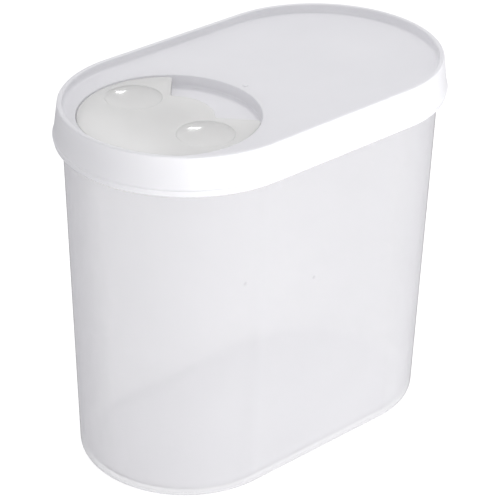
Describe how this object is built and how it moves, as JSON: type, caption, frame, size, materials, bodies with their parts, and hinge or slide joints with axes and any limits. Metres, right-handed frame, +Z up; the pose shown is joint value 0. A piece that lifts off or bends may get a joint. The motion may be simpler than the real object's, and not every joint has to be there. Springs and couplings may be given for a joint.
{
  "type": "cereal dispenser",
  "caption": "Tall translucent dry food tub with round ends, a white push-on lid, and a clear rotary shutter that uncovers a pour opening at one end.",
  "frame": {"origin": "centre of the tub's base, on the surface it stands on", "axes": "+X along the length, away from the pouring end; +Y across the width; +Z up"},
  "size_m": [0.1942, 0.1146, 0.1724],
  "materials": {
    "tub_plastic": "natural translucent polypropylene, softly glossy outside",
    "lid_plastic": "white polyethylene, satin",
    "shutter_plastic": "clear polypropylene, glossy, faintly warm"
  },
  "bodies": {
    "tub": {"tub": "tub_plastic"},
    "lid": {"lid": "lid_plastic"},
    "shutter": {"shutter_disc": "shutter_plastic"}
  },
  "joints": [
    {"name": "lid_lift", "type": "slide", "parent": "tub", "child": "lid", "axis": [0, 0, 1], "range_m": [0, 0.06]},
    {"name": "shutter_turn", "type": "hinge", "parent": "lid", "child": "shutter", "pos_m": [-0.0495, 0, 0.1661], "axis": [0, 0, 1], "continuous": true}
  ]
}
